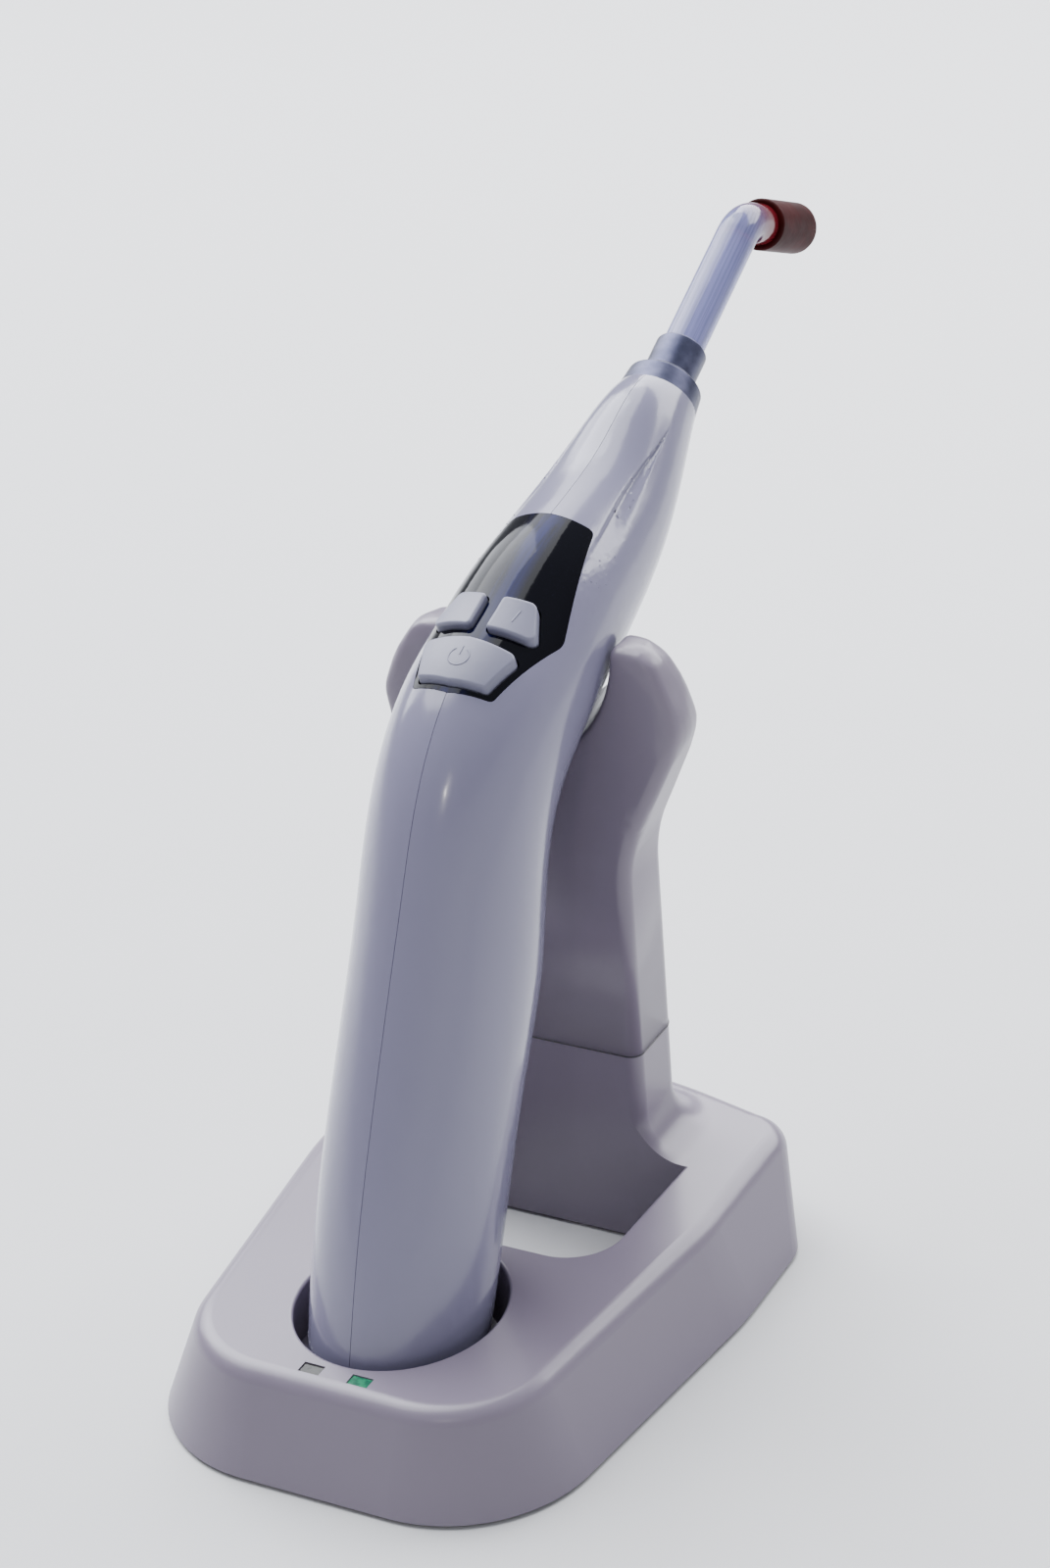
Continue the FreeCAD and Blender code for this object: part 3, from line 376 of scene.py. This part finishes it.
def add_lights():
    world = bpy.data.worlds.new("world")
    world.use_nodes = True
    tree = world.node_tree
    sky = tree.nodes["Background"]
    sky.inputs["Strength"].default_value = 0.8
    direction = tree.nodes.new("ShaderNodeTexCoord")
    split = tree.nodes.new("ShaderNodeSeparateXYZ")
    blend = tree.nodes.new("ShaderNodeValToRGB")
    blend.color_ramp.elements[0].position = 0.0
    blend.color_ramp.elements[0].color = (0.30, 0.22, 0.20, 1)
    blend.color_ramp.elements[1].position = 0.8
    blend.color_ramp.elements[1].color = (0.86, 0.91, 1.0, 1)
    tree.links.new(direction.outputs["Generated"], split.inputs["Vector"])
    tree.links.new(split.outputs["Z"], blend.inputs["Fac"])
    tree.links.new(blend.outputs["Color"], sky.inputs["Color"])
    bpy.context.scene.world = world
    middle_of_object = (0, 0, 0.08)
    add_light("key", (-0.75, 0.35, 0.75), middle_of_object, (0.6, 1.2), 15, (0.90, 0.93, 1.0))
    add_light("back", (0.1, 0.9, 0.7), middle_of_object, (1.4, 0.6), 25, (0.95, 0.96, 1.0))
    sun = bpy.data.lights.new("sky_panel", "SUN")
    sun.energy = 5.2
    sun.angle = math.radians(60)
    sun.color = (0.94, 0.96, 1.0)
    high = bpy.data.objects.new("sky_panel", sun)
    high.rotation_euler = Vector((0.55, -0.30, -1)).to_track_quat("-Z", "Y").to_euler()
    bpy.context.scene.collection.objects.link(high)
    add_light("spark", (0.25, -0.9, 0.75), middle_of_object, (0.03, 0.06), 0.6, (1.0, 0.95, 0.92))


# ---------------------------------------------------------------- marks on the buttons

def drawn_on(name, node, body, strokes, centre, thickness):
    """Lines on a node's surface. Strokes are lists of (across, up) from a centre, in metres."""
    up = WINDOW_NORMAL.cross(ACROSS)
    curve = bpy.data.curves.new(name, "CURVE")
    curve.dimensions = "3D"
    curve.bevel_depth = thickness / 2
    curve.bevel_resolution = 3
    curve.use_fill_caps = True
    for stroke in strokes:
        spots = []
        for across, rise in stroke:
            start = centre + ACROSS * across + up * rise + WINDOW_NORMAL * 20 * MM
            hit, place, normal, _ = nodes[node].ray_cast(start, -WINDOW_NORMAL)
            if hit:
                spots.append(place - normal * thickness * 0.2)
        line = curve.splines.new("POLY")
        line.points.add(len(spots) - 1)
        for point, spot in zip(line.points, spots):
            point.co = (*spot, 1)
    mark = bpy.data.objects.new(name, curve)
    bpy.context.scene.collection.objects.link(mark)
    curve.materials.append(slots["button_grey"].data)
    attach(mark, body)


def power_mark():
    """A broken ring with a bar in its gap."""
    turns = [math.radians(125 + 290 * i / 24) for i in range(25)]
    ring = [(1.9 * MM * math.cos(t), 1.9 * MM * math.sin(t)) for t in turns]
    bar = [(0, 0.3 * MM), (0, 1.2 * MM), (0, 2.2 * MM)]
    centre = middle("power_button")
    drawn_on("power_mark", "power_button", "power_button", [ring, bar], centre, 0.4 * MM)


def mode_mark():
    """A short slanted bar, in place of a letter."""
    bar = [(-0.2 * MM, -1.4 * MM), (0, 0), (0.2 * MM, 1.4 * MM)]
    drawn_on("mode_mark", "mode_button", "mode_button", [bar], middle("mode_button"), 0.4 * MM)


# ---------------------------------------------------------------- finer copies of CAD shells

def copy_of(node):
    """A CAD node's mesh, with its loose faces joined."""
    shape = bmesh.new()
    shape.from_mesh(nodes[node].data)
    bmesh.ops.remove_doubles(shape, verts=shape.verts, dist=0.001 * MM)
    return shape


def cut(shape, place, normal):
    """Cuts every face that a plane crosses, and returns the new edges."""
    everything = shape.verts[:] + shape.edges[:] + shape.faces[:]
    made = bmesh.ops.bisect_plane(shape, geom=everything, plane_co=place, plane_no=normal)
    return [item for item in made["geom_cut"] if isinstance(item, bmesh.types.BMEdge)]


def refine(shape, finest, rounds, wanted):
    """Splits the wanted edges that are longer than the finest length, a round at a time."""
    for _ in range(rounds):
        long_ones = [
            edge for edge in shape.edges if edge.calc_length() > finest and wanted(edge)
        ]
        if not long_ones:
            break
        bmesh.ops.subdivide_edges(shape, edges=long_ones, cuts=1)
        bmesh.ops.triangulate(shape, faces=shape.faces)


def smooth_step(value, low, high):
    share = min(max((value - low) / (high - low), 0), 1)
    return share * share * (3 - 2 * share)


def scoop_place(spot, ring):
    """How far behind the scoop's point a spot is, and how far below the scoop's upper edge."""
    back = ring.y - SCOOP_START - spot.y
    below_edge = ring.z + SCOOP_RISE - spot.z - SCOOP_SLOPE * back
    return back, below_edge


def scoop_depth(spot, ring):
    """How deep the scoop along the side of the nose is at a spot, from 0 to 1.

    Seen from the side, the scoop is a wedge: it starts in a point behind the nose ring and opens
    backwards between an upper edge, where it is deepest, and a lower edge, where it runs out.
    """
    back, below_edge = scoop_place(spot, ring)
    across = below_edge / max(SCOOP_OPENING * back, 0.2 * MM)
    edge = smooth_step(across, 0, 0.2)
    run_out = 1 - smooth_step(across, 0.15, 1)
    fade = 1 - smooth_step(back, *SCOOP_FADE)
    return edge * run_out * fade * smooth_step(back, 0, 4 * MM)


def cad_normals(surface, original):
    """A normal for each corner of a finer copy, interpolated from the CAD mesh that it copies."""
    places = [vert.co for vert in original.vertices]
    tree = BVHTree.FromPolygons(places, [list(face.vertices) for face in original.polygons])
    exact = [item.vector.copy() for item in original.corner_normals]
    normals = []
    for face in surface.polygons:
        for index in face.vertices:
            spot = surface.vertices[index].co
            touching = tree.find_nearest_range(spot, 0.01 * MM)
            if not touching:
                normals.append(face.normal.copy())
                continue
            chosen = max(touching, key=lambda found: found[1].dot(face.normal))[2]
            source = original.polygons[chosen]
            shares = poly_3d_calc([places[i] for i in source.vertices], spot)
            blend = Vector()
            for share, corner in zip(shares, source.loop_indices):
                blend += exact[corner] * share
            normals.append(blend.normalized() if blend.length > 0.1 else face.normal.copy())
    return normals


def scooped(node):
    """A handpiece shell with its scoop: a finer copy of the CAD shell, pressed in."""
    ring = middle("nose_ring")
    shape = copy_of(node)
    for back in range(0, 50, 3):
        cut(shape, (0, ring.y - SCOOP_START - back * MM, 0), (0, 1, 0))
    bmesh.ops.triangulate(shape, faces=shape.faces)

    def near_scoop(spot):
        back, below_edge = scoop_place(spot, ring)
        margin = 1.5 * MM
        return (-1 * MM < back < SCOOP_FADE[1] + 2 * MM
                and -margin < below_edge < SCOOP_OPENING * back + margin)

    def wanted(edge):
        first, last = (vert.co for vert in edge.verts)
        return any(near_scoop(spot) for spot in ((first + last) / 2, first, last))

    refine(shape, SCOOP_MESH, 7, wanted)
    shell = add_mesh(node + "_scooped", shape)
    surface = shell.data
    normals = cad_normals(surface, nodes[node].data)
    outward = [vert.normal.copy() for vert in surface.vertices]
    pressed = set()
    for vert, normal in zip(surface.vertices, outward):
        depth = scoop_depth(vert.co, ring)
        if depth > 0 and normal.x * vert.co.x > 0:
            vert.co = vert.co - normal * depth * SCOOP_DEPTH
            pressed.add(vert.index)
    surface.update()
    for corner in surface.loops:
        if corner.vertex_index in pressed:
            normals[corner.index] = surface.vertices[corner.vertex_index].normal.copy()
    surface.normals_split_custom_set(normals)
    shell.data.materials.append(slots["handpiece_white"].data)
    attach(shell, "handpiece")
    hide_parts(node)


def soft_ears():
    """The yoke with its ears rounded off, as a moulded lobe is: a relaxed copy of its shell."""
    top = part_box("yoke_shell")[1].z
    start = top - EARS_REACH
    full = top - EARS_FULL
    shape = copy_of("yoke_shell")
    cut(shape, (0, 0, start), (0, 0, 1))
    refine(shape, EARS_MESH, 6, lambda edge: all(v.co.z > start - 0.01 * MM for v in edge.verts))
    for _ in range(30):
        relaxed = {}
        for vert in shape.verts:
            share = min(max((vert.co.z - start) / (full - start), 0), 1)
            share *= min(max((abs(vert.co.x) - FORK_HALF) / (4 * MM), 0), 1)
            if share > 0:
                around = [edge.other_vert(vert).co for edge in vert.link_edges]
                mean = sum(around, Vector()) / len(around)
                relaxed[vert] = vert.co.lerp(mean, 0.6 * share)
        for vert, spot in relaxed.items():
            vert.co = spot
    ears = add_mesh("yoke_soft", shape)
    ears.data.materials.append(slots["stand_white"].data)
    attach(ears, "stand")
    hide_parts("yoke_shell")


# ---------------------------------------------------------------- springs and painted shade in parting lines

def seam(name, node, body, level, thickness):
    """A black line round a node's outside at a level: painted shade, standing in for the shadow in a parting
    line's gap.
    """
    shape = copy_of(node)
    spots = outer_loop(cut(shape, (0, 0, level), (0, 0, 1)))
    curve = bpy.data.curves.new(name, "CURVE")
    curve.dimensions = "3D"
    curve.bevel_depth = thickness / 2
    line = curve.splines.new("POLY")
    line.points.add(len(spots) - 1)
    for point, spot in zip(line.points, spots):
        point.co = (*spot, 1)
    line.use_cyclic_u = True
    shape.free()
    made = bpy.data.objects.new(name, curve)
    bpy.context.scene.collection.objects.link(made)
    curve.materials.append(slots["parts_black"].data)
    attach(made, body)


def springy(node):
    """A copy of a spring's CAD mesh, shown in place of the CAD node."""
    coil = bpy.data.objects.new(node + "_soft", nodes[node].data.copy())
    bpy.context.scene.collection.objects.link(coil)
    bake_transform(coil)
    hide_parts(node)


def outer_loop(edges):
    """The points of the longest closed loop among cut edges, in order."""
    left = set(edges)
    best, best_length = [], 0
    while left:
        edge = left.pop()
        first, vert = edge.verts
        spots, length = [first.co.copy(), vert.co.copy()], edge.calc_length()
        while vert != first:
            onward = [other for other in vert.link_edges if other in left]
            if not onward:
                break
            edge = onward[0]
            left.discard(edge)
            vert = edge.other_vert(vert)
            spots.append(vert.co.copy())
            length += edge.calc_length()
        if length > best_length:
            best, best_length = spots, length
    return best


power_mark()
mode_mark()
soft_ears()
scooped("shell_left")
scooped("shell_right")
springy("contact_spring_left")
springy("contact_spring_right")
yoke_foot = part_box("base_shell")[1].z
# painted shade: a black line where the yoke meets the base, standing in for the shadow in the gap between them
seam("post_seam", "yoke_shell", "stand", yoke_foot + 0.1 * MM, 0.28 * MM)
add_camera()
add_floor()
add_lights()
